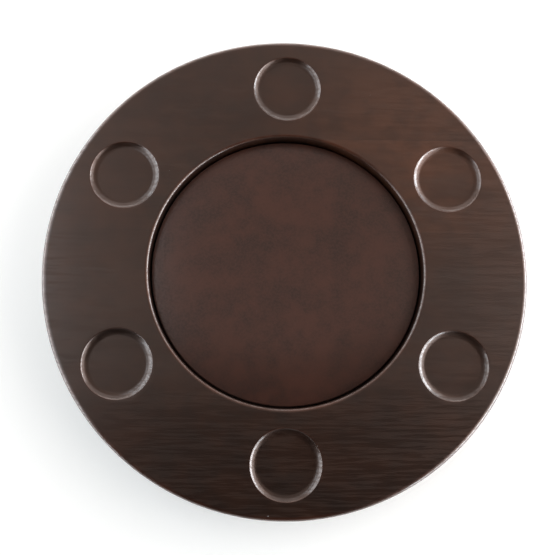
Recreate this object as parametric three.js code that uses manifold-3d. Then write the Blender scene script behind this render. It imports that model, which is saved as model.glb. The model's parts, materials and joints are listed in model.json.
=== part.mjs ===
// A revolving cup tray: a round wooden ring with shallow cup wells turns on a ball ring bearing around a
// fixed, sunken centre disc. Millimetres, +Z up, z = 0 is the surface that the feet stand on.
import * as THREE from "three";
import { mergeVertices } from "three/addons/utils/BufferGeometryUtils.js";
import Module from "manifold-3d";

const wasm = await Module();
wasm.setup();

// Sizes that can be set by themselves.
const tray = {
  outerRadius: 228.6,
  thickness: 20,
  rimRound: 4.76, // round-over along the top outer edge
  lipRound: 3.2, // round-over along the top of the opening
  heelRound: 3, // round-over along the bottom outer edge
};
const well = {
  count: 6,
  firstAngle: 30,
  mouthRadius: 32.8,
  landWidth: 16.8, // from the mouth to the tray's wall, on both sides
  depth: 3.2,
  coveRadius: 9.7, // the hollow corner between floor and mouth
};
const disc = { thickness: 18, edgeRound: 1 };
const base = { thickness: 12, margin: 7, edgeChamfer: 1.5 };
const race = {
  inset: 6.6, // from the tray's opening to the inner race
  width: 15,
  height: 8.7,
  faceGap: 2, // between the two races
  standOff: 1, // from each race to the board that it doesn't carry
};
const ball = { count: 24, radius: 2.5 };
const cage = { wall: 1, web: 0.7 }; // web: above and below each pocket
const foot = { count: 6, radius: 11, toeRadius: 9.5, toeChamfer: 1, height: 8, inset: 15, seatHeight: 4.5 };

// Fasteners: each points up through the piece that it passes, and bites the next one.
const flatHead = { radius: 2, headRadius: 4, headHeight: 2.5, headEdge: 0.3 };
const trayScrew = { ...flatHead, passes: race.height, bite: 7.3, tip: 3 };
const raceScrew = { ...flatHead, passes: base.thickness, bite: 6, tip: 0.5, count: 6, firstAngle: 30 };
const discScrew = { ...flatHead, passes: base.thickness, bite: 12, tip: 3, count: 4, firstAngle: 45 };
const discScrewInset = 40; // from the disc's edge
const panScrewHead = { radius: 1.75, headRadius: 3.6, headHeight: 2 };
const footScrew = { ...panScrewHead, passes: foot.height - foot.seatHeight, bite: 8.5, tip: 3 };

// Clearances.
const discGap = 1.8; // centre disc to the tray's opening
const ballGap = 0.25; // ball to each race's groove
const pocketGap = 0.3; // ball to its pocket in the cage
const holeGap = 0.3; // screw to the hole that it passes or bites
const headGap = 0.7; // pan head to the recess in a foot
const overrun = 1; // how far a cutter passes the face that it cuts

// Facets round a full turn, and along a quarter round.
const turnedSides = 72;
const wellSides = 30;
const footSides = 16;
const smallSides = 8;
const arcSteps = 3;

// Places that follow from the sizes.
const openingRadius = tray.outerRadius - 2 * (well.landWidth + well.mouthRadius);
const wellCircle = (openingRadius + tray.outerRadius) / 2;
const discRadius = openingRadius - discGap;
const innerRaceBore = openingRadius + race.inset;
const innerRaceFace = innerRaceBore + race.width;
const ballCircle = innerRaceFace + race.faceGap / 2;
const outerRaceFace = innerRaceFace + race.faceGap;
const outerRaceEdge = outerRaceFace + race.width;
const baseRadius = outerRaceEdge + base.margin;
const footCircle = baseRadius - foot.inset;
const baseBottom = foot.height;
const baseTop = baseBottom + base.thickness;
const innerRaceTop = baseTop + race.height;
const outerRaceBottom = baseTop + race.standOff;
const trayBottom = outerRaceBottom + race.height;
const trayTop = trayBottom + tray.thickness;
const discTop = baseTop + disc.thickness;
const ballHeight = (outerRaceBottom + innerRaceTop) / 2;
const grooveRadius = ball.radius + ballGap;

const espressoWood = new THREE.MeshStandardMaterial({ color: 0x3a241c, roughness: 0.35, metalness: 0 });
const darkBoard = new THREE.MeshStandardMaterial({ color: 0x2f1f1a, roughness: 0.45, metalness: 0 });
const baseBoard = new THREE.MeshStandardMaterial({ color: 0x241a16, roughness: 0.6, metalness: 0 });
const aluminium = new THREE.MeshStandardMaterial({ color: 0xb4b6b9, roughness: 0.4, metalness: 1 });
const ballSteel = new THREE.MeshStandardMaterial({ color: 0xc9cbce, roughness: 0.12, metalness: 1 });
const screwSteel = new THREE.MeshStandardMaterial({ color: 0x9a9c9f, roughness: 0.35, metalness: 1 });
const nylon = new THREE.MeshStandardMaterial({ color: 0xd8d6cc, roughness: 0.55, metalness: 0 });
const rubber = new THREE.MeshStandardMaterial({ color: 0x17171a, roughness: 0.85, metalness: 0 });

// Turns a profile of [radius, height] points round +Z. The points run counter-clockwise, from axis to axis
// or closed on themselves.
function turn(profile, sides) {
  const points = profile.map(([radius, height]) => new THREE.Vector2(radius, height));
  const uprightFromY = new THREE.Matrix4().set(0, 0, 1, 0, 1, 0, 0, 0, 0, 1, 0, 0, 0, 0, 0, 1);
  return new THREE.LatheGeometry(points, sides).applyMatrix4(uprightFromY);
}

// Points along a circular arc in a profile, angles in degrees from the outward direction.
function arc(radius, height, size, from, to, steps = arcSteps) {
  return Array.from({ length: steps + 1 }, (_, i) => {
    const angle = THREE.MathUtils.degToRad(from + ((to - from) * i) / steps);
    return [radius + size * Math.cos(angle), height + size * Math.sin(angle)];
  });
}

function closed(profile) {
  return [...profile, profile[0]];
}

// The places of count pieces, evenly round a circle.
function around(count, firstAngle, circle) {
  return Array.from({ length: count }, (_, i) => {
    const angle = THREE.MathUtils.degToRad(firstAngle + (360 * i) / count);
    return { x: circle * Math.cos(angle), y: circle * Math.sin(angle), angle };
  });
}

function solidOf(geometry) {
  const bare = geometry.clone();
  bare.deleteAttribute("normal");
  bare.deleteAttribute("uv");
  const merged = mergeVertices(bare);
  return new wasm.Manifold(
    new wasm.Mesh({
      numProp: 3,
      vertProperties: merged.attributes.position.array,
      triVerts: new Uint32Array(merged.index.array),
    }),
  );
}

function geometryOf(solid) {
  const mesh = solid.getMesh();
  const geometry = new THREE.BufferGeometry();
  geometry.setAttribute("position", new THREE.BufferAttribute(mesh.vertProperties, 3));
  geometry.setIndex(new THREE.BufferAttribute(mesh.triVerts, 1));
  geometry.computeVertexNormals();
  return geometry;
}

// A body less each of its cutters.
function cut(body, cutters) {
  return geometryOf(cutters.reduce((left, cutter) => left.subtract(solidOf(cutter)), solidOf(body)));
}

// A countersunk screw, head face at height 0 and tip up. Grown by a gap it is the cutter of its own hole.
function countersunk(screw, gap = 0) {
  const radius = screw.radius + gap;
  const headRadius = screw.headRadius + gap;
  const start = gap ? -overrun : 0;
  const end = screw.passes + screw.bite + gap;
  const profile = [
    [0, start],
    [headRadius, start],
    [headRadius, screw.headEdge],
    [radius, screw.headHeight],
    [radius, end - screw.tip],
    [gap ? radius : 0.2 * radius, end],
    [0, end],
  ];
  return turn(profile, smallSides);
}

// A pan-head screw: the head hangs below height 0, the seat, and the shank points up.
function panHead(screw) {
  const end = screw.passes + screw.bite;
  const profile = [
    [0, -screw.headHeight],
    [0.75 * screw.headRadius, -screw.headHeight],
    [screw.headRadius, -0.45 * screw.headHeight],
    [screw.headRadius, 0],
    [screw.radius, 0],
    [screw.radius, end - screw.tip],
    [0, end],
  ];
  return turn(profile, smallSides);
}

function panHeadHole(screw) {
  const radius = screw.radius + holeGap;
  const end = screw.passes + screw.bite + holeGap;
  const profile = [
    [0, 0],
    [radius, 0],
    [radius, end],
    [0, end],
  ];
  return turn(profile, smallSides);
}

// One copy of a cutter at each place, at a height.
function repeated(geometry, places, height) {
  return places.map(({ x, y }) => geometry.clone().translate(x, y, height));
}

function place(group, name, geometry, material, at, height) {
  const mesh = new THREE.Mesh(geometry, material);
  mesh.name = name;
  mesh.position.set(at.x, at.y, height);
  group.add(mesh);
}

function placeAll(group, stem, geometry, material, places, height) {
  places.forEach((at, i) => place(group, `${stem}_${i + 1}`, geometry, material, at, height));
}

const centre = { x: 0, y: 0 };
const betweenWells = well.firstAngle + 180 / well.count;
const trayScrewPlaces = around(well.count, betweenWells, outerRaceEdge - race.width / 2);
const raceScrewPlaces = around(raceScrew.count, raceScrew.firstAngle, innerRaceBore + race.width / 2);
const discScrewPlaces = around(discScrew.count, discScrew.firstAngle, discRadius - discScrewInset);
const footPlaces = around(foot.count, 0, footCircle);
const ballPlaces = around(ball.count, 0, ballCircle);
const trayScrewHoles = repeated(countersunk(trayScrew, holeGap), trayScrewPlaces, outerRaceBottom);
const raceScrewHoles = repeated(countersunk(raceScrew, holeGap), raceScrewPlaces, baseBottom);
const discScrewHoles = repeated(countersunk(discScrew, holeGap), discScrewPlaces, baseBottom);
const footScrewHoles = repeated(panHeadHole(footScrew), footPlaces, foot.seatHeight);

// The cutter of one cup well: flat floor, hollow corner, and a short way up past the tray's top.
function wellCutter() {
  const rise = Math.min(well.depth, well.coveRadius);
  const reach = Math.sqrt(well.coveRadius ** 2 - (well.coveRadius - rise) ** 2);
  const floor = trayTop - well.depth;
  const endAngle = THREE.MathUtils.radToDeg(Math.asin((rise - well.coveRadius) / well.coveRadius));
  const profile = [
    [0, floor],
    ...arc(well.mouthRadius - reach, floor + well.coveRadius, well.coveRadius, -90, endAngle, arcSteps + 1),
    [well.mouthRadius, trayTop + overrun],
    [0, trayTop + overrun],
  ];
  return turn(profile, wellSides);
}

function trayRing() {
  const { outerRadius, rimRound, lipRound, heelRound } = tray;
  const profile = closed([
    [openingRadius, trayBottom],
    ...arc(outerRadius - heelRound, trayBottom + heelRound, heelRound, -90, 0),
    ...arc(outerRadius - rimRound, trayTop - rimRound, rimRound, 0, 90, arcSteps + 1),
    ...arc(openingRadius + lipRound, trayTop - lipRound, lipRound, 90, 180),
  ]);
  const wells = around(well.count, well.firstAngle, wellCircle);
  return cut(turn(profile, turnedSides), [...repeated(wellCutter(), wells, 0), ...trayScrewHoles]);
}

function centreDisc() {
  const profile = [
    [0, baseTop],
    [discRadius, baseTop],
    ...arc(discRadius - disc.edgeRound, discTop - disc.edgeRound, disc.edgeRound, 0, 90, 2),
    [0, discTop],
  ];
  return cut(turn(profile, turnedSides), discScrewHoles);
}

function basePlate() {
  const profile = [
    [0, baseBottom],
    [baseRadius - base.edgeChamfer, baseBottom],
    [baseRadius, baseBottom + base.edgeChamfer],
    [baseRadius, baseTop],
    [0, baseTop],
  ];
  return cut(turn(profile, turnedSides), [...raceScrewHoles, ...discScrewHoles, ...footScrewHoles]);
}

// The angle from the radial direction at which a race's groove meets its face.
const grooveHalf = THREE.MathUtils.radToDeg(Math.acos(race.faceGap / 2 / grooveRadius));

function innerRace() {
  const profile = closed([
    [innerRaceBore, baseTop],
    [innerRaceFace, baseTop],
    ...arc(ballCircle, ballHeight, grooveRadius, 180 + grooveHalf, 180 - grooveHalf, arcSteps + 1),
    [innerRaceFace, innerRaceTop],
    [innerRaceBore, innerRaceTop],
  ]);
  return cut(turn(profile, turnedSides), raceScrewHoles);
}

function outerRace() {
  const profile = closed([
    [outerRaceFace, outerRaceBottom],
    [outerRaceEdge, outerRaceBottom],
    [outerRaceEdge, trayBottom],
    [outerRaceFace, trayBottom],
    ...arc(ballCircle, ballHeight, grooveRadius, grooveHalf, -grooveHalf, arcSteps + 1),
  ]);
  return cut(turn(profile, turnedSides), trayScrewHoles);
}

// A thin ring between the races, with a round pocket for each ball.
function ballCage() {
  const inside = ballCircle - cage.wall / 2;
  const outside = ballCircle + cage.wall / 2;
  const pocketRadius = ball.radius + pocketGap;
  const low = ballHeight - pocketRadius - cage.web;
  const high = ballHeight + pocketRadius + cage.web;
  const profile = closed([
    [inside, low],
    [outside, low],
    [outside, high],
    [inside, high],
  ]);
  const pockets = ballPlaces.map(({ x, y, angle }) =>
    new THREE.CylinderGeometry(pocketRadius, pocketRadius, cage.wall + 2 * overrun, smallSides)
      .rotateZ(angle - Math.PI / 2)
      .translate(x, y, ballHeight),
  );
  return cut(turn(profile, turnedSides), pockets);
}

function rubberFoot() {
  const hole = footScrew.radius + holeGap;
  const recess = footScrew.headRadius + headGap;
  const profile = closed([
    [recess, 0],
    [foot.toeRadius - foot.toeChamfer, 0],
    [foot.toeRadius, foot.toeChamfer],
    [foot.radius, foot.height],
    [hole, foot.height],
    [hole, foot.seatHeight],
    [recess, foot.seatHeight],
  ]);
  return turn(profile, footSides);
}

// What stands still: base, inner race, centre disc and feet.
const standing = new THREE.Group();
place(standing, "base_board", basePlate(), baseBoard, centre, 0);
place(standing, "centre_disc", centreDisc(), darkBoard, centre, 0);
place(standing, "inner_race", innerRace(), aluminium, centre, 0);
placeAll(standing, "race_screw", countersunk(raceScrew), screwSteel, raceScrewPlaces, baseBottom);
placeAll(standing, "disc_screw", countersunk(discScrew), screwSteel, discScrewPlaces, baseBottom);
placeAll(standing, "foot", rubberFoot(), rubber, footPlaces, 0);
placeAll(standing, "foot_screw", panHead(footScrew), screwSteel, footPlaces, foot.seatHeight);

// What turns: the tray and the outer race that carries it.
const turning = new THREE.Group();
place(turning, "tray_ring", trayRing(), espressoWood, centre, 0);
place(turning, "outer_race", outerRace(), aluminium, centre, 0);
placeAll(turning, "tray_screw", countersunk(trayScrew), screwSteel, trayScrewPlaces, outerRaceBottom);

// What rolls between them.
const rolling = new THREE.Group();
place(rolling, "ball_cage", ballCage(), nylon, centre, 0);
placeAll(rolling, "ball", new THREE.IcosahedronGeometry(ball.radius, 1), ballSteel, ballPlaces, ballHeight);

const revolvingTray = new THREE.Group();
revolvingTray.add(standing, turning, rolling);

export default revolvingTray;
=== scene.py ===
import json
import math
import bmesh
import bpy
import numpy as np
from mathutils import Matrix, Vector


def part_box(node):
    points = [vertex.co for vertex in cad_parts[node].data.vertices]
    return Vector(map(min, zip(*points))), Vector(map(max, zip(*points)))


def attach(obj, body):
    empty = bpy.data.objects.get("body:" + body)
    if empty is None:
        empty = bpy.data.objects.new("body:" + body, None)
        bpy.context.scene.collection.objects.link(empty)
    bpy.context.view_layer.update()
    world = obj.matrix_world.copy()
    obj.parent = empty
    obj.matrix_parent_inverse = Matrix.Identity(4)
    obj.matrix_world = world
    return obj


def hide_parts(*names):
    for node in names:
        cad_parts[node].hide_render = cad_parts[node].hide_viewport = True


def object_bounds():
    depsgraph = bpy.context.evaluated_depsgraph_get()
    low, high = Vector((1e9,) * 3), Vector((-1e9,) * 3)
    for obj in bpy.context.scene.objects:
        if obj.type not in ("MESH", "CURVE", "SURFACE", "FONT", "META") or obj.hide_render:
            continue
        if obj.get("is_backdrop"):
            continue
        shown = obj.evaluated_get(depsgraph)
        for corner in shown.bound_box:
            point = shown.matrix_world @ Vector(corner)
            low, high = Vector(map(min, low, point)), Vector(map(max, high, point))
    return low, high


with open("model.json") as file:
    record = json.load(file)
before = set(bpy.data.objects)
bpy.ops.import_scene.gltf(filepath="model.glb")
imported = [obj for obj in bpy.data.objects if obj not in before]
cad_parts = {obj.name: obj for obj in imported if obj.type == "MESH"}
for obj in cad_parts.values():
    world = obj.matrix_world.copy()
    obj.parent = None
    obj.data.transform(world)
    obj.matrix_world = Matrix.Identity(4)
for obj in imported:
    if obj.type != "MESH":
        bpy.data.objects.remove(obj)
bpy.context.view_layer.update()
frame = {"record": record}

scene = bpy.context.scene
mm = 0.001
sliver = 0.002 * mm  # points closer than this are one point
sharpTurn = math.radians(35)  # faces that meet at more than this show an edge
overrun = 1 * mm  # how far a cutter passes the face that it cuts
seats = {m["name"]: Vector(m["pos_m"]) for m in frame["record"]["mounts"]}


def arc(radius, height, size, start, end, steps):
    # a circular arc in a profile: radius + size cos a, height + size sin a, for a from start to end degrees
    a = np.radians(np.linspace(start, end, steps + 1))
    return np.stack([radius + size * np.cos(a), height + size * np.sin(a)], axis=1)


def ringGrid(rows, columns, wrapRows=False):
    # the four-sided faces of a grid whose columns close into a ring; rows run along the profile
    i = np.arange(rows if wrapRows else rows - 1)[:, None] * columns
    j = np.arange(columns)[None, :]
    after = (j + 1) % columns
    above = (i + columns) % (rows * columns)
    return np.stack([i + j, i + after, above + after, above + j], axis=-1).reshape(-1, 4)


def makePiece(name, points, faces):
    # a linked object of these points and faces, smooth except where two faces meet at more than sharpTurn
    mesh = bpy.data.meshes.new(name)
    mesh.from_pydata(points, [], faces)
    mesh.shade_smooth()
    mesh.set_sharp_from_angle(angle=sharpTurn)
    piece = bpy.data.objects.new(name, mesh)
    scene.collection.objects.link(piece)
    return piece


def turned(profile, sides):
    # a profile of radius and height carried once round the axis: x = r cos t, y = r sin t; a profile closes
    # on itself, or starts and ends on the axis, where its two poles become fans
    profile = np.asarray(profile, float)
    poles = profile[0, 0] == 0
    body = profile[1:-1] if poles else profile
    t = np.linspace(0, 2 * math.pi, sides, endpoint=False)
    r, z = body[:, :1], body[:, 1:]
    points = np.stack([r * np.cos(t), r * np.sin(t), z + 0 * t], axis=-1).reshape(-1, 3)
    faces = ringGrid(len(body), sides, wrapRows=not poles).tolist()
    if poles:
        j = np.arange(sides)
        after = (j + 1) % sides
        last = (len(body) - 1) * sides
        low, high = len(points), len(points) + 1
        points = np.vstack([points, [[0, 0, profile[0, 1]], [0, 0, profile[-1, 1]]]])
        faces += np.stack([after, j, 0 * j + low], axis=1).tolist()
        faces += np.stack([last + j, last + after, 0 * j + high], axis=1).tolist()
    return points, faces


trayLow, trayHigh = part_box("tray_ring")
discLow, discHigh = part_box("centre_disc")
tray = {
    "radius": trayHigh.x,
    "top": trayHigh.z,
    "bottom": trayLow.z,
    "discGap": 1.8 * mm,
    "rimRound": 4.76 * mm,
    "lipRound": 3.2 * mm,
    "heelRound": 3 * mm,
    "wellCount": 6,
    "wellCircle": math.hypot(seats["cup_seat_1"].x, seats["cup_seat_1"].y),
    "wellMouth": 33.0 * mm,
    "wellDepth": 3.2 * mm,
    "mouthSlope": 48,
    "mouthRound": 0.8 * mm,
    "arcSteps": 44,
    "sideSteps": 24,
    "landShares": (1, 0.985, 0.93, 0.7, 0.45, 0.2, 0.06),
    "mouthSteps": 5,
    "coveSteps": 12,
    "floorShares": (0.985, 0.8, 0.5, 0.2),
    "lipSteps": 8,
    "heelSteps": 6,
    "rimSteps": 12,
    "lowEdge": 0.4 * mm,
    "underStep": 2 * mm,
}
tray["opening"] = discHigh.x + tray["discGap"]


def wellProfile(s):
    # from the mouth in to the floor's middle: a rounded edge that falls away to mouthSlope degrees, a hollow
    # corner that starts at that slope, and a flat floor; reach = depth / tan(slope / 2) joins the three
    slope, rounding = s["mouthSlope"], s["mouthRound"]
    reach = s["wellDepth"] / math.tan(math.radians(slope / 2))
    cove = reach / math.sin(math.radians(slope)) - rounding
    floorRadius = s["wellMouth"] - reach
    floor = s["top"] - s["wellDepth"]
    edge = arc(s["wellMouth"], s["top"] - rounding, rounding, 90, 90 + slope, s["mouthSteps"])
    hollow = arc(floorRadius, floor + cove, cove, slope - 90, -90, s["coveSteps"])
    flat = np.array([[share * floorRadius, floor] for share in s["floorShares"]])
    return np.vstack([edge, hollow[1:], flat])


def sectorOutline(inner, outer, half, arcSteps, sideSteps):
    # once round a sector's edge, anticlockwise: outer arc, straight side, inner arc, straight side
    a = np.linspace(-half, half, arcSteps + 1)
    r = np.linspace(outer, inner, sideSteps + 1)
    outerArc = outer * np.stack([np.cos(a), np.sin(a)], axis=1)
    leftSide = r[:, None] * np.array([[math.cos(half), math.sin(half)]])
    innerArc = inner * np.stack([np.cos(a[::-1]), np.sin(a[::-1])], axis=1)
    rightSide = r[::-1, None] * np.array([[math.cos(half), -math.sin(half)]])
    return np.vstack([outerArc[:-1], leftSide[:-1], innerArc[:-1], rightSide[:-1]])


def buildTray(s):
    # six equal sectors, each a grid of rings that shrink from the sector's edge to its well: point = land +
    # share (edge - land) along rays from the well's middle, then the well's profile; a turned wall closes the
    # ring round
    half = math.pi / s["wellCount"]
    flatInner, flatOuter = s["opening"] + s["lipRound"], s["radius"] - s["rimRound"]
    outline = sectorOutline(flatInner, flatOuter, half, s["arcSteps"], s["sideSteps"])
    middle = np.array([s["wellCircle"], 0.0])
    ray = outline - middle
    ray /= np.linalg.norm(ray, axis=1, keepdims=True)
    land = middle + ray * s["wellMouth"]
    rings = []
    for share in s["landShares"]:
        rings.append(np.column_stack([land + share * (outline - land), np.full(len(outline), s["top"])]))
    for radius, height in wellProfile(s):
        rings.append(np.column_stack([middle + ray * radius, np.full(len(outline), height)]))
    columns = len(outline)
    grid = np.vstack(rings)
    pole = [[s["wellCircle"], 0, s["top"] - s["wellDepth"]]]
    points = np.vstack([grid, pole])
    j = np.arange(columns)
    last = (len(rings) - 1) * columns
    fan = np.stack([last + j, last + (j + 1) % columns, 0 * j + len(grid)], axis=1)
    allPoints, quads, fans = [], [], []
    for k in range(s["wellCount"]):
        turn = half + 2 * half * k
        c, d = math.cos(turn), math.sin(turn)
        start = k * len(points)
        allPoints.append(points @ np.array([[c, d, 0], [-d, c, 0], [0, 0, 1]]))
        quads.append(ringGrid(len(rings), columns) + start)
        fans.append(fan + start)
    inner, low, heel, chamfer = s["opening"], s["bottom"], s["heelRound"], s["lowEdge"]
    edge = np.vstack([
        arc(flatInner, s["top"] - s["lipRound"], s["lipRound"], 90, 180, s["lipSteps"]),
        [[inner, low + chamfer], [inner + chamfer, low], [inner + s["underStep"], low]],
        [[s["radius"] - heel - s["underStep"] / 2, low]],
        arc(s["radius"] - heel, low + heel, heel, -90, 0, s["heelSteps"]),
        arc(flatOuter, s["top"] - s["rimRound"], s["rimRound"], 0, 90, s["rimSteps"]),
    ])
    sides = s["wellCount"] * s["arcSteps"]
    t = np.linspace(0, 2 * math.pi, sides, endpoint=False)
    wall = np.stack([edge[:, :1] * np.cos(t), edge[:, :1] * np.sin(t), edge[:, 1:] + 0 * t], axis=-1)
    start = sum(len(p) for p in allPoints)
    allPoints.append(wall.reshape(-1, 3))
    quads.append(ringGrid(len(edge), sides) + start)
    faces = np.vstack(quads).tolist() + np.vstack(fans).tolist()
    piece = makePiece("tray_panel", np.vstack(allPoints), faces)
    b = bmesh.new()
    b.from_mesh(piece.data)
    bmesh.ops.remove_doubles(b, verts=b.verts, dist=sliver / 2)
    bmesh.ops.recalc_face_normals(b, faces=b.faces)
    b.to_mesh(piece.data)
    b.free()
    piece.data.set_sharp_from_angle(angle=sharpTurn)
    return piece


# how strongly each edge crest is lightened and reddened: partly wear, partly a painted highlight
rubbedAndHighlit = {
    "rim": 0.3,
    "rimTurn": 60,
    "rimSpread": 22,
    "lip": 0.4,
    "lipDepth": 0.5 * mm,
    "mouth": 0.3,
    "mouthInset": 0.4 * mm,
    "mouthSpread": 0.3 * mm,
}


def paintWearAndHighlight(piece, s, w):
    # rubbed edges with a painted highlight laid on their crests: a bell curve, exp(-(distance / spread)^2),
    # about the crest of the rim, lip and wells
    count = len(piece.data.vertices)
    points = np.empty(count * 3)
    piece.data.vertices.foreach_get("co", points)
    x, y, z = points.reshape(-1, 3).T
    r = np.hypot(x, y)
    rimStart, lipEnd = s["radius"] - s["rimRound"], s["opening"] + s["lipRound"]
    turn = np.degrees(np.arctan2(z - (s["top"] - s["rimRound"]), r - rimStart))
    rim = np.where(r > rimStart, np.exp(-((turn - w["rimTurn"]) / w["rimSpread"]) ** 2), 0)
    below = s["top"] - z
    lip = np.where(r < lipEnd, np.exp(-((below - w["lipDepth"]) / w["lipDepth"]) ** 2), 0)
    a = (np.arange(s["wellCount"]) + 0.5) * 2 * math.pi / s["wellCount"]
    wellX, wellY = s["wellCircle"] * np.cos(a), s["wellCircle"] * np.sin(a)
    gap = np.hypot(x[:, None] - wellX, y[:, None] - wellY).min(axis=1)
    mouth = np.exp(-((gap - s["wellMouth"] + w["mouthInset"]) / w["mouthSpread"]) ** 2)
    wearAndHighlight = piece.data.attributes.new("wearAndHighlight", "FLOAT", "POINT")
    wearAndHighlight.data.foreach_set("value", np.clip(w["rim"] * rim + w["lip"] * lip + w["mouth"] * mouth, 0, 1))


disc = {
    "radius": discHigh.x,
    "top": discHigh.z,
    "bottom": discLow.z,
    "edgeRound": 1 * mm,
    "edgeSteps": 4,
    "sides": 240,
}
baseLow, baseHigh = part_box("base_board")
base = {
    "radius": baseHigh.x,
    "top": baseHigh.z,
    "bottom": baseLow.z,
    "edgeRound": 1.5 * mm,
    "edgeSteps": 4,
    "sides": 240,
}
flatHead = {
    "radius": 2 * mm,
    "core": 1.5 * mm,
    "headRadius": 4 * mm,
    "headEdge": 0.3 * mm,
    "headHeight": 2.5 * mm,
    "pitch": 1.8 * mm,
    "tip": 3 * mm,
    "point": 0.35 * mm,
    "plain": 1.5 * mm,
    "ridgeHalf": 0.5 * mm,
    "rootShare": 0.9,
    "leastRise": 0.1,
    "turnFade": 2.0,
    "crossWidth": 0.9 * mm,
    "crossSpan": 4.4 * mm,
    "crossDepth": 1.7 * mm,
    "clearance": 0.3 * mm,
    "sides": 24,
    "holeSides": 32,
}
panHead = {
    **flatHead,
    "radius": 1.75 * mm,
    "core": 1.3 * mm,
    "headRadius": 3.6 * mm,
    "headHeight": 2 * mm,
    "dome": ((0, 1), (0.45, 1), (0.75, 0.88), (0.94, 0.6), (1, 0.25), (1, 0)),
    "crossFloor": 0.35,
}


def shifted(points, x, y, z):
    # every point plus the one offset
    return np.asarray(points) + np.array([x, y, z])


def carve(piece, cutters):
    # the piece less each cutter, with exact booleans, kept as a plain mesh of triangles with no slivers
    for cutter in cutters:
        modifier = piece.modifiers.new(cutter.name, "BOOLEAN")
        modifier.operation = "DIFFERENCE"
        modifier.solver = "EXACT"
        modifier.object = cutter
    carved = bpy.data.meshes.new_from_object(piece.evaluated_get(bpy.context.evaluated_depsgraph_get()))
    piece.modifiers.clear()
    piece.data = carved
    for cutter in cutters:
        bpy.data.objects.remove(cutter)
    b = bmesh.new()
    b.from_mesh(carved)
    bmesh.ops.remove_doubles(b, verts=b.verts, dist=sliver)
    bmesh.ops.triangulate(b, faces=b.faces, quad_method="BEAUTY", ngon_method="BEAUTY")
    bmesh.ops.dissolve_degenerate(b, edges=b.edges, dist=sliver)
    bmesh.ops.triangulate(b, faces=b.faces)
    b.to_mesh(carved)
    b.free()
    carved.set_sharp_from_angle(angle=sharpTurn)
    return piece


def boxPiece(name, width, depth, low, high):
    # a box about the Z axis: corners at plus and minus half the width and depth, at the low and high ends
    flat = np.array([[-1, -1], [1, -1], [1, 1], [-1, 1]]) * (width / 2, depth / 2)
    corners = np.vstack([np.column_stack([flat, np.full(4, z)]) for z in (low, high)])
    faces = [(3, 2, 1, 0), (4, 5, 6, 7), (0, 1, 5, 4), (1, 2, 6, 5), (2, 3, 7, 6), (3, 0, 4, 7)]
    return makePiece(name, corners, faces)


def middleOf(name):
    # a node's middle in plan and its lowest height
    low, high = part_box(name)
    return (low.x + high.x) / 2, (low.y + high.y) / 2, low.z


def countersinkHoles(s, names, depth):
    # the cutter of each screw's hole: a cone for the head and a shank, wider than the screw by the clearance
    r, h = s["radius"] + s["clearance"], s["headRadius"] + s["clearance"]
    head = [[0, -overrun], [h, -overrun], [h, s["headEdge"]], [r, s["headHeight"]]]
    profile = head + [[r, depth], [0, depth]]
    points, faces = turned(profile, s["holeSides"])
    return [makePiece("hole_" + name, shifted(points, *middleOf(name)), faces) for name in names]


def boardPiece(name, s, cutters=()):
    # a round board: a turned profile with quarter rounds at both edges, less its screw holes
    e, halfway = s["edgeRound"], s["radius"] / 2
    profile = np.vstack([
        [[0, s["bottom"]], [halfway, s["bottom"]]],
        arc(s["radius"] - e, s["bottom"] + e, e, -90, 0, s["edgeSteps"]),
        arc(s["radius"] - e, s["top"] - e, e, 0, 90, s["edgeSteps"]),
        [[halfway, s["top"]], [0, s["top"]]],
    ])
    piece = makePiece(name, *turned(profile, s["sides"]))
    return carve(piece, cutters) if cutters else piece


ballLow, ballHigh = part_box("ball_1")
innerLow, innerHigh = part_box("inner_race")
outerLow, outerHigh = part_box("outer_race")
cageLow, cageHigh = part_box("ball_cage")
bearing = {
    "ballCircle": (ballLow.x + ballHigh.x) / 2,
    "ballHeight": (ballLow.z + ballHigh.z) / 2,
    "ballRadius": (ballHigh.z - ballLow.z) / 2,
    "ballGap": 0.25 * mm,
    "balls": 24,
    "ballRows": 12,
    "ballSides": 20,
    "raceWidth": 15 * mm,
    "holeDepth": 12 * mm,
    "edge": 0.4 * mm,
    "grooveSteps": 12,
    "cageWall": 1 * mm,
    "cageEdge": 0.15 * mm,
    "pocketGap": 0.3 * mm,
    "pocketReach": 2 * mm,
    "pocketSides": 24,
    "sides": 240,
}


def racePiece(name, s, low, high, innerFace):
    # a rectangle of race with small edge rounds and a groove for the balls in the face towards them
    groove = s["ballRadius"] + s["ballGap"]
    face = high.x if innerFace else high.x - s["raceWidth"]
    back = high.x - s["raceWidth"] if innerFace else high.x
    side = 1 if innerFace else -1
    half = math.degrees(math.acos(abs(s["ballCircle"] - face) / groove))
    e = s["edge"]
    middle = 180 if innerFace else 0
    start, end = middle + side * half, middle - side * half
    hollow = arc(s["ballCircle"], s["ballHeight"], groove, start, end, s["grooveSteps"])
    profile = np.vstack([
        [[back, low.z + e], [back + side * e, low.z], [face - side * e, low.z], [face, low.z + e]],
        hollow,
        [[face, high.z - e], [face - side * e, high.z], [back + side * e, high.z], [back, high.z - e]],
    ])
    return makePiece(name, *turned(profile if innerFace else profile[::-1], s["sides"]))


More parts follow.
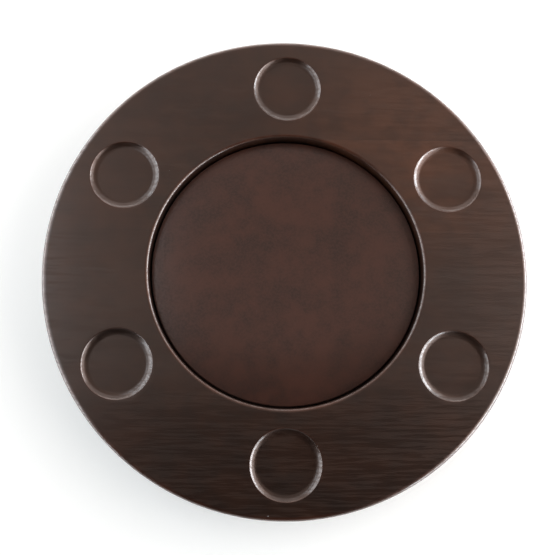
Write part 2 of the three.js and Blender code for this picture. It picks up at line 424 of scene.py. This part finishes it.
def cagePiece(s):
    # a thin turned hoop less one lying cylinder for each ball, at equal turns round the ball circle
    r, e = s["ballCircle"], s["cageEdge"]
    inner, outer = r - s["cageWall"] / 2, r + s["cageWall"] / 2
    low, high = cageLow.z, cageHigh.z
    profile = [[inner, low + e], [inner + e, low], [outer - e, low], [outer, low + e],
               [outer, high - e], [outer - e, high], [inner + e, high], [inner, high - e]]
    piece = makePiece("cage_ring", *turned(profile, s["sides"]))
    hole, reach = s["ballRadius"] + s["pocketGap"], s["pocketReach"]
    points, faces = turned([[0, -reach], [hole, -reach], [hole, reach], [0, reach]], s["pocketSides"])
    lying = shifted(points[:, [2, 0, 1]], r, 0, s["ballHeight"])
    cutters = []
    for k in range(s["balls"]):
        a = k * 2 * math.pi / s["balls"]
        spin = np.array([[math.cos(a), math.sin(a), 0], [-math.sin(a), math.cos(a), 0], [0, 0, 1]])
        cutters.append(makePiece(f"pocket_{k + 1}", lying @ spin, faces))
    return carve(piece, cutters)


def ballShape(s):
    # a half circle of radius and height turned about the axis
    a = np.radians(np.linspace(-90, 90, s["ballRows"] + 1))
    profile = s["ballRadius"] * np.stack([np.cos(a), np.sin(a)], axis=1)
    profile[[0, -1], 0] = 0
    return turned(profile, s["ballSides"])


def threadShape(s, start, end):
    # a ridge wound round the core: height = start + pitch t / 2 pi, with three corners at each t, root, crest
    # and root; the crest sinks towards the core over the first and last turnFade radians
    length = 2 * math.pi * (end - start) / s["pitch"]
    t = np.linspace(0, length, int(length / (2 * math.pi) * s["sides"]) + 1)
    rise = np.clip(np.minimum(t, length - t) / s["turnFade"], s["leastRise"], 1)
    root = s["core"] * s["rootShare"] + 0 * t
    r = np.stack([root, root + rise * (s["radius"] - root), root], axis=1)
    middle = start + s["pitch"] * t / (2 * math.pi)
    z = middle[:, None] + s["ridgeHalf"] * np.array([-1, 0, 1])
    points = np.stack([r * np.cos(t)[:, None], r * np.sin(t)[:, None], z], axis=-1).reshape(-1, 3)
    last = len(points) - 3
    return points, ringGrid(len(t), 3).tolist() + [[2, 1, 0], [last, last + 1, last + 2]]


def screwMesh(name, s, profile, end, crossLow, crossHigh):
    # a turned head, core and tip with a cross cut in the head, and the thread's ridge wound round the core
    tip = [[s["core"], end - s["tip"]], [s["point"], end], [0, end]]
    body = makePiece(name, *turned(np.vstack([profile, tip]), s["sides"]))
    arms = [boxPiece("arm", s["crossSpan"], s["crossWidth"], crossLow, crossHigh),
            boxPiece("arm", s["crossWidth"], s["crossSpan"], crossLow, crossHigh)]
    carve(body, arms)
    ridge = makePiece("ridge", *threadShape(s, profile[-1][1] + s["plain"], end - s["tip"]))
    b = bmesh.new()
    b.from_mesh(body.data)
    b.from_mesh(ridge.data)
    bmesh.ops.recalc_face_normals(b, faces=b.faces)
    mesh = body.data
    b.to_mesh(mesh)
    b.free()
    bpy.data.objects.remove(body)
    bpy.data.objects.remove(ridge)
    return mesh


def flatScrew(name, s, end):
    # a countersunk head: a short rim, then a cone up to the core
    profile = [[0, 0], [s["headRadius"], 0], [s["headRadius"], s["headEdge"]], [s["core"], s["headHeight"]]]
    return screwMesh(name, s, profile, end, -overrun, s["crossDepth"])


def panScrew(name, s, end):
    # a domed head below the bearing face at height 0, as shares of its radius and height, and a straight core
    h = s["headHeight"]
    dome = np.array(s["dome"]) * (s["headRadius"], -h)
    return screwMesh(name, s, np.vstack([dome, [[s["core"], 0]]]), end, -h - overrun, -s["crossFloor"] * h)


def copyMesh(name, mesh, x, y, z):
    # a copy of a mesh with its place put into its points
    copy = mesh.copy()
    copy.transform(Matrix.Translation((x, y, z)))
    copy.set_sharp_from_angle(angle=sharpTurn)
    piece = bpy.data.objects.new(name, copy)
    scene.collection.objects.link(piece)
    return piece


foot = {
    "radius": 11 * mm,
    "toe": 9.5 * mm,
    "toeRound": 1 * mm,
    "height": 8 * mm,
    "seat": 4.5 * mm,
    "recess": 4.3 * mm,
    "recessEdge": 0.4 * mm,
    "hole": 2.05 * mm,
    "shoulderInset": 0.25 * mm,
    "shoulderDrop": 0.9 * mm,
    "topInset": 0.1 * mm,
    "topRound": 0.5 * mm,
    "toeSteps": 4,
    "topSteps": 3,
    "sides": 32,
}


def footShape(s):
    # a tapered rubber foot turned about its screw hole, hollow from below for the screw's head
    toe, top, edge = s["toeRound"], s["topRound"], s["recessEdge"]
    slope = math.degrees(math.atan2(s["radius"] - s["toe"], s["height"]))
    profile = np.vstack([
        [[s["hole"], s["seat"]], [s["recess"], s["seat"]], [s["recess"], edge], [s["recess"] + edge, 0]],
        arc(s["toe"] - toe, toe, toe, -90, -slope, s["toeSteps"]),
        [[s["radius"] - s["shoulderInset"], s["height"] - s["shoulderDrop"]]],
        arc(s["radius"] - s["topInset"] - top, s["height"] - top, top, 0, 90, s["topSteps"]),
        [[s["hole"], s["height"]]],
    ])
    return turned(profile, s["sides"])


def nodeMaterial(name):
    # a new material, its node tree and its shader
    material = bpy.data.materials.new(name)
    material.use_nodes = True
    return material, material.node_tree, material.node_tree.nodes["Principled BSDF"]


def feed(tree, socket, value):
    # a socket takes another node's output, or a plain value
    if isinstance(value, bpy.types.NodeSocket):
        tree.links.new(value, socket)
    else:
        socket.default_value = value


def mathNode(tree, operation, a, b=0.0, c=0.0, clamp=False):
    # operation(a, b, c), held in 0..1 when clamp is on
    node = tree.nodes.new("ShaderNodeMath")
    node.operation = operation
    node.use_clamp = clamp
    for socket, value in zip(node.inputs, (a, b, c)):
        feed(tree, socket, value)
    return node.outputs[0]


def remap(tree, value, low, high, toLow=0.0, toHigh=1.0):
    # value from low..high to toLow..toHigh along an S curve, held at the ends
    node = tree.nodes.new("ShaderNodeMapRange")
    node.interpolation_type = "SMOOTHSTEP"
    names = ("Value", "From Min", "From Max", "To Min", "To Max")
    for name, given in zip(names, (value, low, high, toLow, toHigh)):
        feed(tree, node.inputs[name], given)
    return node.outputs["Result"]


def mixColour(tree, factor, a, b):
    # a + factor (b - a), for colours a and b
    node = tree.nodes.new("ShaderNodeMix")
    node.data_type = "RGBA"
    feed(tree, node.inputs["Factor"], factor)
    feed(tree, node.inputs[6], a)
    feed(tree, node.inputs[7], b)
    return node.outputs[2]


def noise(tree, vector, scale, detail=2.0, roughness=0.5):
    # soft noise about 0.5, scale waves to the metre, with finer octaves as detail and roughness rise
    node = tree.nodes.new("ShaderNodeTexNoise")
    names = ("Vector", "Scale", "Detail", "Roughness")
    for name, given in zip(names, (vector, scale, detail, roughness)):
        feed(tree, node.inputs[name], given)
    return node.outputs["Fac"]


def scaled(tree, vector, x, y, z):
    # vector times (x, y, z), part by part
    node = tree.nodes.new("ShaderNodeVectorMath")
    node.operation = "MULTIPLY"
    feed(tree, node.inputs[0], vector)
    node.inputs[1].default_value = (x, y, z)
    return node.outputs[0]


def newGroup(name, inputs, outputs):
    # an empty node group, with the sockets inside it that its inputs come from and its outputs go to
    group = bpy.data.node_groups.new(name, "ShaderNodeTree")
    for socketName, kind, value in inputs:
        socket = group.interface.new_socket(socketName, in_out="INPUT", socket_type="NodeSocket" + kind)
        if kind == "Float":
            socket.default_value = value
    for socketName in outputs:
        group.interface.new_socket(socketName, in_out="OUTPUT", socket_type="NodeSocketFloat")
    start, end = group.nodes.new("NodeGroupInput"), group.nodes.new("NodeGroupOutput")
    return group, start.outputs, end.inputs


def useGroup(tree, group, **values):
    # places a group in a material with its own values, and gives its outputs
    node = tree.nodes.new("ShaderNodeGroup")
    node.node_tree = group
    for name, value in values.items():
        feed(tree, node.inputs[name], value)
    return node.outputs


def objectPlace(tree):
    # the place on the object, in metres
    return tree.nodes.new("ShaderNodeTexCoord").outputs["Object"]


staves = {
    "width": 92 * mm,
    "joint": 36 * mm,
    "slide": 1.7,
    "wander": 4 * mm,
    "wanderScale": (10, 20, 10),
    "fibreScale": (24, 400, 400),
    "fibreDetail": 2.0,
    "fibreRoughness": 0.7,
    "figureScale": (8, 90, 90),
    "figureDetail": 3.0,
    "figureRoughness": 0.6,
    "jointShare": 0.006,
}


def staveGroup(s):
    # glued staves along X: a stave's number is floor((y - joint) / width), and each has its own grain and
    # shade; the grain is noise drawn out along X, slid along by a random part of slide and waved across
    sockets = ("Fibre", "Figure", "Shade", "Joint")
    group, inputs, outputs = newGroup("glued_staves", [("Vector", "Vector", None)], sockets)
    split = group.nodes.new("ShaderNodeSeparateXYZ")
    group.links.new(inputs["Vector"], split.inputs[0])
    x, y, z = split.outputs
    across = mathNode(group, "DIVIDE", mathNode(group, "SUBTRACT", y, s["joint"]), s["width"])
    number = mathNode(group, "FLOOR", across)
    random = group.nodes.new("ShaderNodeTexWhiteNoise")
    random.noise_dimensions = "1D"
    group.links.new(number, random.inputs["W"])
    slid = mathNode(group, "MULTIPLY_ADD", random.outputs["Value"], s["slide"], x)
    wander = noise(group, scaled(group, inputs["Vector"], *s["wanderScale"]), 1.0, 1.0)
    waved = mathNode(group, "MULTIPLY_ADD", wander, s["wander"], y)
    join = group.nodes.new("ShaderNodeCombineXYZ")
    for socket, value in zip(join.inputs, (slid, waved, z)):
        group.links.new(value, socket)
    place = scaled(group, join.outputs[0], *s["fibreScale"])
    fibre = noise(group, place, 1.0, s["fibreDetail"], s["fibreRoughness"])
    place = scaled(group, join.outputs[0], *s["figureScale"])
    figure = noise(group, place, 1.0, s["figureDetail"], s["figureRoughness"])
    fraction = mathNode(group, "FRACT", across)
    edge = mathNode(group, "MINIMUM", fraction, mathNode(group, "SUBTRACT", 1.0, fraction))
    joint = remap(group, edge, 0.0, s["jointShare"], 1.0, 0.0)
    for name, value in zip(sockets, (fibre, figure, random.outputs["Value"], joint)):
        group.links.new(value, outputs[name])
    return group


def speckGroup():
    # scattered dust: a share of the cells hold a speck, which is all within its size of the cell's point
    given = [("Vector", "Vector", None)]
    given += [(name, "Float", value) for name, value in (("Cells", 60.0), ("Size", 0.02), ("Share", 0.1))]
    group, inputs, outputs = newGroup("dust_specks", given, ["Speck"])
    cells = group.nodes.new("ShaderNodeTexVoronoi")
    group.links.new(inputs["Vector"], cells.inputs["Vector"])
    group.links.new(inputs["Cells"], cells.inputs["Scale"])
    split = group.nodes.new("ShaderNodeSeparateXYZ")
    group.links.new(cells.outputs["Color"], split.inputs[0])
    near = mathNode(group, "LESS_THAN", cells.outputs["Distance"], inputs["Size"])
    chosen = mathNode(group, "LESS_THAN", split.outputs[0], inputs["Share"])
    group.links.new(mathNode(group, "MULTIPLY", near, chosen), outputs["Speck"])
    return group


cloudy = {"broadShare": 0.28, "low": 0.32, "high": 0.68}


def mottleGroup(s):
    # cloudy stain: the mean of a broad and a close soft noise, stretched from low..high to 0..1
    given = [("Vector", "Vector", None), ("Scale", "Float", 60.0)]
    group, inputs, outputs = newGroup("stain_mottle", given, ["Mottle"])
    broad = noise(group, inputs["Vector"], mathNode(group, "MULTIPLY", inputs["Scale"], s["broadShare"]), 1.0)
    close = noise(group, inputs["Vector"], inputs["Scale"])
    both = mathNode(group, "MULTIPLY_ADD", broad, 0.5, mathNode(group, "MULTIPLY", close, 0.5))
    group.links.new(remap(group, both, s["low"], s["high"]), outputs["Mottle"])
    return group


def bumpNormal(tree, height, distance, strength=1.0):
    # a normal tilted by the slope of height times distance
    node = tree.nodes.new("ShaderNodeBump")
    node.inputs["Distance"].default_value = distance
    node.inputs["Strength"].default_value = strength
    feed(tree, node.inputs["Height"], height)
    return node.outputs["Normal"]


wood = {
    "dark": (0.0002, 0.0001, 0.0001, 1),
    "light": (0.0060, 0.0023, 0.0014, 1),
    "orange": (0.0200, 0.0056, 0.0020, 1),
    "warm": (0.0500, 0.0155, 0.0064, 1),
    "warmSpot": (0.11, 0.13, 0.05),
    "warmReach": 0.17,
    # the lighter red laid on the edge crests: partly wear, partly a painted highlight
    "wornAndHighlit": (0.0900, 0.0200, 0.0080, 1),
    "dust": (0.20, 0.20, 0.20, 1),
    "tint": (1.0, 0.62, 0.49, 1),
    "specular": 0.86,
    "roughness": 0.37,
    "roughSpread": 0.055,
    "coatRoughness": 0.17,
    "cloudScale": 75.0,
    "cloudStretch": (0.8, 1.0, 1.0),
    "fibreShare": 0.75,
    "streakRange": (0.42, 0.58),
    "poreRange": (0.52, 0.42),
    "poreDepth": 0.52,
    "orangeShare": 0.7,
    "warmLeast": 0.5,
    "shadeRange": (0.8, 1.25),
    "jointShare": 0.5,
    "wornAndHighlitLeast": 0.45,
    "dustCells": 62.0,
    "dustSize": 0.03,
    "dustShare": 0.05,
    "dustDull": 0.8,
    "dustRough": 0.4,
    "bump": 0.0015 * mm,
    "bumpStrength": 0.6,
}


def dusted(tree, s, specks, place, colour):
    # the colour with specks of dust laid over it, and where the specks are
    cells, size, share = s["dustCells"], s["dustSize"], s["dustShare"]
    dust = useGroup(tree, specks, Vector=place, Cells=cells, Size=size, Share=share)["Speck"]
    return mixColour(tree, dust, colour, s["dust"]), dust


def espressoWood(s, staveParts, mottle, specks):
    # streaks from the staves' fibre and figure, an orange mottle, a warmer patch that fades out from its spot
    # over its reach, a shade for each stave, dark joints, a redder lighter edge that is partly wear and
    # partly a painted highlight, and a little dust; the lacquer thins in the pores
    material, tree, shader = nodeMaterial("espresso_wood")
    place = objectPlace(tree)
    grain = useGroup(tree, staveParts, Vector=place)
    stretched = scaled(tree, place, *s["cloudStretch"])
    clouds = useGroup(tree, mottle, Vector=stretched, Scale=s["cloudScale"])["Mottle"]
    figure = mathNode(tree, "MULTIPLY", grain["Figure"], 1 - s["fibreShare"])
    streak = mathNode(tree, "MULTIPLY_ADD", grain["Fibre"], s["fibreShare"], figure)
    streak = remap(tree, streak, *s["streakRange"])
    pores = remap(tree, grain["Fibre"], *s["poreRange"])
    colour = mixColour(tree, streak, s["dark"], s["light"])
    colour = mixColour(tree, mathNode(tree, "MULTIPLY", clouds, s["orangeShare"]), colour, s["orange"])
    # a warmer colour about warmSpot, fading out over warmReach
    reach = tree.nodes.new("ShaderNodeVectorMath")
    reach.operation = "DISTANCE"
    feed(tree, reach.inputs[0], place)
    feed(tree, reach.inputs[1], s["warmSpot"])
    warmth = remap(tree, reach.outputs["Value"], s["warmReach"], 0.0)
    warmth = mathNode(tree, "MULTIPLY", warmth, remap(tree, clouds, 0.0, 1.0, s["warmLeast"], 1.0))
    colour = mixColour(tree, warmth, colour, s["warm"])
    shade = remap(tree, grain["Shade"], 0.0, 1.0, *s["shadeRange"])
    toned = tree.nodes.new("ShaderNodeVectorMath")
    toned.operation = "SCALE"
    feed(tree, toned.inputs[0], colour)
    feed(tree, toned.inputs["Scale"], shade)
    joint = mathNode(tree, "MULTIPLY", grain["Joint"], s["jointShare"])
    colour = mixColour(tree, joint, toned.outputs[0], s["dark"])
    # edge wear together with a painted highlight on the rounded crests
    wearAndHighlight = tree.nodes.new("ShaderNodeAttribute")
    wearAndHighlight.attribute_name = "wearAndHighlight"
    uneven = remap(tree, clouds, 0.0, 1.0, s["wornAndHighlitLeast"], 1.0)
    wornAndHighlit = mathNode(tree, "MULTIPLY", wearAndHighlight.outputs["Fac"], uneven)
    colour = mixColour(tree, wornAndHighlit, colour, s["wornAndHighlit"])
    colour, dust = dusted(tree, s, specks, place, colour)
    feed(tree, shader.inputs["Base Color"], colour)
    lacquer = mathNode(tree, "MULTIPLY_ADD", pores, -s["poreDepth"], 1.0)
    lacquer = mathNode(tree, "MULTIPLY_ADD", dust, -s["dustDull"], lacquer, clamp=True)
    feed(tree, shader.inputs["Coat Weight"], lacquer)
    most, least = s["roughness"] + s["roughSpread"], s["roughness"] - s["roughSpread"]
    rough = remap(tree, streak, 0.0, 1.0, most, least)
    feed(tree, shader.inputs["Roughness"], mathNode(tree, "MULTIPLY_ADD", dust, s["dustRough"], rough))
    feed(tree, shader.inputs["Normal"], bumpNormal(tree, streak, s["bump"], s["bumpStrength"]))
    shader.inputs["Specular IOR Level"].default_value = s["specular"]
    shader.inputs["Specular Tint"].default_value = s["tint"]
    shader.inputs["Coat Roughness"].default_value = s["coatRoughness"]
    return material


board = {
    "dark": (0.0100, 0.0036, 0.0026, 1),
    "light": (0.0260, 0.0094, 0.0062, 1),
    "red": (0.0460, 0.0136, 0.0080, 1),
    "dust": (0.16, 0.16, 0.16, 1),
    "tint": (1.0, 0.60, 0.48, 1),
    "specular": 0.70,
    "roughness": 0.40,
    "coat": 1.0,
    "coatSpread": 0.45,
    "coatRoughness": 0.22,
    "roughSpread": 0.06,
    "speckleScale": 420.0,
    "speckleDetail": 3.0,
    "speckleRoughness": 0.7,
    "speckleRange": (0.42, 0.58),
    "cloudScale": 90.0,
    "redShare": 0.75,
    "dustCells": 70.0,
    "dustSize": 0.028,
    "dustShare": 0.05,
    "bump": 0.004 * mm,
    "bumpStrength": 0.5,
}
underBoard = {**board, "coat": 0.3, "roughness": 0.6}


def stainedBoard(name, s, mottle, specks):
    # fine speckle with no direction, under a red-brown mottle; the lacquer thins with the speckle
    material, tree, shader = nodeMaterial(name)
    place = objectPlace(tree)
    speckle = noise(tree, place, s["speckleScale"], s["speckleDetail"], s["speckleRoughness"])
    speckle = remap(tree, speckle, *s["speckleRange"])
    clouds = useGroup(tree, mottle, Vector=place, Scale=s["cloudScale"])["Mottle"]
    colour = mixColour(tree, speckle, s["dark"], s["light"])
    colour = mixColour(tree, mathNode(tree, "MULTIPLY", clouds, s["redShare"]), colour, s["red"])
    colour, _ = dusted(tree, s, specks, place, colour)
    feed(tree, shader.inputs["Base Color"], colour)
    most, least = s["roughness"] + s["roughSpread"], s["roughness"] - s["roughSpread"]
    feed(tree, shader.inputs["Roughness"], remap(tree, speckle, 0.0, 1.0, most, least))
    feed(tree, shader.inputs["Normal"], bumpNormal(tree, speckle, s["bump"], s["bumpStrength"]))
    shader.inputs["Specular IOR Level"].default_value = s["specular"]
    shader.inputs["Specular Tint"].default_value = s["tint"]
    lacquer = remap(tree, speckle, 0.0, 1.0, s["coat"] * (1 - s["coatSpread"]), s["coat"])
    feed(tree, shader.inputs["Coat Weight"], lacquer)
    shader.inputs["Coat Roughness"].default_value = s["coatRoughness"]
    return material


finish = {
    "metallic": 0.0,
    "scale": 400.0,
    "detail": 3.0,
    "fineness": 0.6,
    "range": (0.3, 0.7),
    "spread": 0.25,
    "roughShare": 0.15,
    "bump": 0.01 * mm,
}
raceLook = {**finish, "colour": (0.62, 0.63, 0.64), "roughness": 0.38, "metallic": 1.0}
ballLook = {**raceLook, "colour": (0.74, 0.75, 0.76), "roughness": 0.12, "scale": 900.0, "spread": 0.08,
            "bump": 0.002 * mm}
screwLook = {**raceLook, "colour": (0.52, 0.53, 0.54), "roughness": 0.35, "scale": 900.0}
cageLook = {**finish, "colour": (0.78, 0.77, 0.72), "roughness": 0.5, "scale": 500.0, "spread": 0.08}
footLook = {**finish, "colour": (0.02, 0.02, 0.021), "roughness": 0.8, "scale": 1200.0, "spread": 0.3,
            "bump": 0.03 * mm}


def finishMaterial(name, s):
    # a plain finish whose colour, roughness and height all wander a little with one noise
    material, tree, shader = nodeMaterial(name)
    grain = noise(tree, objectPlace(tree), s["scale"], s["detail"], s["fineness"])
    grain = remap(tree, grain, *s["range"])
    darker = tuple((1 - s["spread"]) * c for c in s["colour"]) + (1,)
    feed(tree, shader.inputs["Base Color"], mixColour(tree, grain, darker, s["colour"] + (1,)))
    most, least = s["roughness"] * (1 + s["roughShare"]), s["roughness"] * (1 - s["roughShare"])
    feed(tree, shader.inputs["Roughness"], remap(tree, grain, 0.0, 1.0, most, least))
    feed(tree, shader.inputs["Normal"], bumpNormal(tree, grain, s["bump"]))
    shader.inputs["Metallic"].default_value = s["metallic"]
    return material


view = {
    "sensor": 36,
    "lens": 47.29816,
    "centre": (-0.12313, -0.54282, 3.00493),
    "forward": (0.02781, 0.16564, -0.98579),
    "up": (-0.01018, 0.98617, 0.16542),
}


def placeCamera(s, flatRadius, top):
    # the camera stands at centre, in radii of the flat top from its middle, and looks along forward
    data = bpy.data.cameras.new("camera")
    data.lens = s["lens"]
    data.sensor_width = s["sensor"]
    camera = bpy.data.objects.new("camera", data)
    scene.collection.objects.link(camera)
    back = -Vector(s["forward"]).normalized()
    up = Vector(s["up"])
    up = (up - up.dot(back) * back).normalized()
    right = up.cross(back)
    spot = Vector(s["centre"]) * flatRadius + Vector((0, 0, top))
    turn = Matrix((right, up, back)).transposed().to_4x4()
    camera.matrix_world = Matrix.Translation(spot) @ turn
    scene.camera = camera


# soft panels on the walls and ceiling of a small box of light: wall, from, to, low, high, radiance; on the
# ceiling, low and high are places along Y
room = {
    "reach": 1.1,
    "height": 1.5,
    "worldGlow": 0.03,
    "floorHalf": 1.05,
    "floorShade": (0.86, 0.79, 0.74, 1),
    "floorGlow": 0.24,
    "floorRoughness": 0.9,
    "floorSpecular": 0.1,
    "daylight": (0.88, 1.03, 1.13),
    "lamplight": (1.08, 0.97, 0.90),
    "daylit": ("window", "window_front", "window_low", "window_top", "window_end", "left_table", "left_wall",
               "left_wall_high", "ceiling_left", "front_corner", "front_corner_high"),
    "lamplit": ("ceiling", "ceiling_back", "ceiling_right"),
    "panels": {
        "window": ("east", -0.85, 0.6, 0.08, 0.3, 14.5),
        "window_front": ("east", -1.1, -0.85, 0.08, 0.3, 7.0),
        "window_low": ("east", -1.1, 0.6, 0.0, 0.08, 8.5),
        "window_top": ("east", -1.1, 0.6, 0.3, 0.45, 9.0),
        "window_end": ("east", 0.6, 1.1, 0.0, 0.45, 3.4),
        "right_wall": ("east", -1.1, 1.1, 0.45, 1.5, 2.1),
        "right_shelf": ("east", -0.3, 0.85, 0.65, 0.9, 3.2),
        "left_table": ("west", -1.1, 1.1, 0.0, 0.09, 12.0),
        "left_wall": ("west", -0.65, 1.1, 0.09, 0.9, 3.3),
        "left_wall_high": ("west", -0.65, 1.1, 0.9, 1.5, 1.1),
        "back_table": ("north", -1.1, 1.1, 0.0, 0.18, 4.2),
        "back_wall": ("north", -1.1, 1.1, 0.18, 1.5, 0.95),
        "front_corner": ("south", 0.73, 1.1, 0.0, 0.18, 12.0),
        "front_corner_high": ("south", 0.73, 1.1, 0.18, 0.45, 4.5),
        "front_table": ("south", -1.1, 0.73, 0.0, 0.18, 0.6),
        "ceiling_back": ("up", -0.7, 1.1, 0.3, 1.1, 0.24),
        "ceiling": ("up", -0.7, 1.1, -0.1, 1.1, 0.31),
        "ceiling_right": ("up", 0.2, 1.1, -0.1, 1.1, 0.1),
        "ceiling_left": ("up", -1.1, -0.6, -0.2, 1.1, 2.05),
    },
}


def softPanel(name, corner, along, upward, radiance, colour):
    # a rectangular area light of even radiance: watts = radiance times pi times its area; its two sides are
    # put in the order that makes it face the tray
    corner, along, upward = Vector(corner), Vector(along), Vector(upward)
    middle = corner + along / 2 + upward / 2
    if along.cross(upward).dot(middle) < 0:
        along, upward = upward, along
    data = bpy.data.lights.new(name, "AREA")
    data.shape = "RECTANGLE"
    data.size, data.size_y = along.length, upward.length
    data.energy = radiance * math.pi * along.length * upward.length
    data.color = colour
    light = bpy.data.objects.new(name, data)
    x, y = along.normalized(), upward.normalized()
    light.matrix_world = Matrix.Translation(middle) @ Matrix((x, y, x.cross(y))).transposed().to_4x4()
    light.visible_camera = False
    scene.collection.objects.link(light)


def buildRoom(s):
    # the panels, a dim world that the camera sees as white, and a pale floor with a little glow
    reach, height, half = s["reach"], s["height"], s["floorHalf"]
    tints = {**dict.fromkeys(s["daylit"], s["daylight"]), **dict.fromkeys(s["lamplit"], s["lamplight"])}
    for name, (wall, start, end, low, high, radiance) in s["panels"].items():
        colour = tints.get(name, (1, 1, 1))
        if wall in ("east", "west"):
            x = reach if wall == "east" else -reach
            softPanel(name, (x, start, low), (0, end - start, 0), (0, 0, high - low), radiance, colour)
        elif wall in ("north", "south"):
            y = reach if wall == "north" else -reach
            softPanel(name, (start, y, low), (end - start, 0, 0), (0, 0, high - low), radiance, colour)
        else:
            softPanel(name, (start, low, height), (end - start, 0, 0), (0, high - low, 0), radiance, colour)
    world = bpy.data.worlds.new("room")
    scene.world = world
    world.use_nodes = True
    path = world.node_tree.nodes.new("ShaderNodeLightPath")
    background = world.node_tree.nodes["Background"]
    background.inputs["Color"].default_value = (1, 1, 1, 1)
    lit = remap(world.node_tree, path.outputs["Is Camera Ray"], 0.0, 1.0, s["worldGlow"], 1.0)
    world.node_tree.links.new(lit, background.inputs["Strength"])
    corners = [(-half, -half, 0), (half, -half, 0), (half, half, 0), (-half, half, 0)]
    floor = makePiece("floor", corners, [(0, 1, 2, 3)])
    material, _, shader = nodeMaterial("pale_floor")
    shader.inputs["Base Color"].default_value = s["floorShade"]
    shader.inputs["Roughness"].default_value = s["floorRoughness"]
    shader.inputs["Specular IOR Level"].default_value = s["floorSpecular"]
    shader.inputs["Emission Color"].default_value = (1, 1, 1, 1)
    shader.inputs["Emission Strength"].default_value = s["floorGlow"]
    floor.data.materials.append(material)
    floor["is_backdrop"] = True
    scene.view_settings.view_transform = "Standard"


def fit(piece, material, body, slot, *nodes):
    # gives a piece its material and its body, and hides the nodes that it takes the place of; slot is not
    # used
    piece.data.materials.clear()
    piece.data.materials.append(material)
    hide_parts(*nodes)
    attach(piece, body)


def numbered(name, count):
    # the names of alike nodes, counted from 1
    return [f"{name}_{k + 1}" for k in range(count)]


raceScrews = numbered("race_screw", 6)
discScrews = numbered("disc_screw", 4)
trayScrews = numbered("tray_screw", 6)
footScrews = numbered("foot_screw", 6)
feet = numbered("foot", 6)
balls = numbered("ball", bearing["balls"])

print("boards")
mottleParts = mottleGroup(cloudy)
speckParts = speckGroup()
trayWood = espressoWood(wood, staveGroup(staves), mottleParts, speckParts)
discWood = stainedBoard("disc_board", board, mottleParts, speckParts)
baseWood = stainedBoard("base_board", underBoard, mottleParts, speckParts)
trayPanel = buildTray(tray)
paintWearAndHighlight(trayPanel, tray, rubbedAndHighlit)
fit(trayPanel, trayWood, "tray", "espresso_wood", "tray_ring")
fit(boardPiece("centre_panel", disc), discWood, "base", "disc_board", "centre_disc")
baseHoles = countersinkHoles(flatHead, raceScrews + discScrews, base["top"] - base["bottom"] + overrun)
fit(boardPiece("base_panel", base, baseHoles), baseWood, "base", "base_board", "base_board")

print("bearing")
raceMetal = finishMaterial("race_metal", raceLook)
ballSteel = finishMaterial("ball_steel", ballLook)
screwSteel = finishMaterial("screw_steel", screwLook)
nylon = finishMaterial("cage_nylon", cageLook)
rubber = finishMaterial("foot_rubber", footLook)
innerRing = racePiece("inner_ring", bearing, innerLow, innerHigh, True)
fit(innerRing, raceMetal, "base", "race_metal", "inner_race")
outerRing = racePiece("outer_ring", bearing, outerLow, outerHigh, False)
carve(outerRing, countersinkHoles(flatHead, trayScrews, bearing["holeDepth"]))
fit(outerRing, raceMetal, "tray", "race_metal", "outer_race")
fit(cagePiece(bearing), nylon, "ball_set", "cage_nylon", "ball_cage")
ballPoints, ballFaces = ballShape(bearing)
for name in balls:
    x, y, z = middleOf(name)
    points = shifted(ballPoints, x, y, z + bearing["ballRadius"])
    fit(makePiece("steel_" + name, points, ballFaces), ballSteel, "ball_set", "ball_steel", name)

print("screws and feet")
for names, body in ((raceScrews, "base"), (discScrews, "base"), (trayScrews, "tray")):
    low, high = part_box(names[0])
    mesh = flatScrew(names[0] + "_shape", flatHead, high.z - low.z)
    for name in names:
        fit(copyMesh(name + "_detail", mesh, *middleOf(name)), screwSteel, body, "screw_steel", name)
low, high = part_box(footScrews[0])
mesh = panScrew("foot_screw_shape", panHead, high.z - low.z - panHead["headHeight"])
for name in footScrews:
    x, y, z = middleOf(name)
    piece = copyMesh(name + "_detail", mesh, x, y, z + panHead["headHeight"])
    fit(piece, screwSteel, "base", "screw_steel", name)
footPoints, footFaces = footShape(foot)
for name in feet:
    points = shifted(footPoints, *middleOf(name))
    fit(makePiece(name.replace("foot", "foot_pad"), points, footFaces), rubber, "base", "foot_rubber", name)

print("room")
placeCamera(view, tray["radius"] - tray["rimRound"], tray["top"])
buildRoom(room)

low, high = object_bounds()
